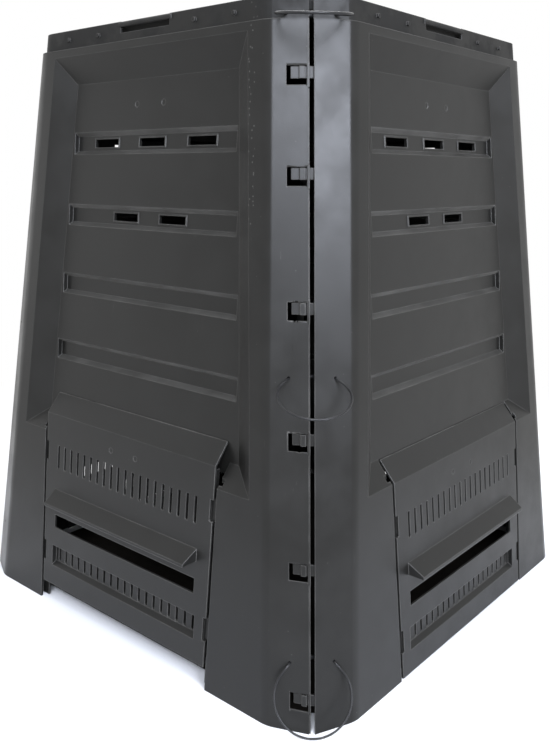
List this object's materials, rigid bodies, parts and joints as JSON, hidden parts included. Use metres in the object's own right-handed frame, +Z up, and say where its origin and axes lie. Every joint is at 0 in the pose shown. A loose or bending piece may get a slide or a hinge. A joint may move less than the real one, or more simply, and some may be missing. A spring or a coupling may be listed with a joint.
{
  "type": "compost bin",
  "caption": "Square tapering compost bin of hooked plastic panels, with a lift-up door in the foot of each side and a hinged inset lid.",
  "frame": {"origin": "on the ground under the middle of the bin", "axes": "+Z up; -Y out of the front panel, whose door stands a little open; the lid hinges at +Y"},
  "size_m": [0.8893, 0.8893, 1.0098],
  "materials": {
    "black_plastic": "fine-grained moulded polypropylene, satin",
    "tie_plastic": "smooth black nylon"
  },
  "bodies": {
    "bin": {"panel_front": "black_plastic", "panel_right": "black_plastic", "panel_back": "black_plastic", "panel_left": "black_plastic", "tie_lower": "tie_plastic", "tie_middle": "tie_plastic", "tie_upper": "tie_plastic"},
    "front_door": {"door_front": "black_plastic"},
    "right_door": {"door_right": "black_plastic"},
    "back_door": {"door_back": "black_plastic"},
    "left_door": {"door_left": "black_plastic"},
    "lid": {"lid": "black_plastic"}
  },
  "joints": [
    {"name": "front_door_slide", "type": "slide", "parent": "bin", "child": "front_door", "axis": [0, 0.102, 0.9948], "range_m": [-0.0332, 0.198]},
    {"name": "right_door_slide", "type": "slide", "parent": "bin", "child": "right_door", "axis": [-0.102, 0, 0.9948], "range_m": [0, 0.2312]},
    {"name": "back_door_slide", "type": "slide", "parent": "bin", "child": "back_door", "axis": [0, -0.102, 0.9948], "range_m": [0, 0.2312]},
    {"name": "left_door_slide", "type": "slide", "parent": "bin", "child": "left_door", "axis": [0.102, 0, 0.9948], "range_m": [0, 0.2312]},
    {"name": "lid_hinge", "type": "hinge", "parent": "bin", "child": "lid", "pos_m": [0, 0.32488, 0.9955], "axis": [-1, 0, 0], "range_deg": [0, 100]}
  ]
}
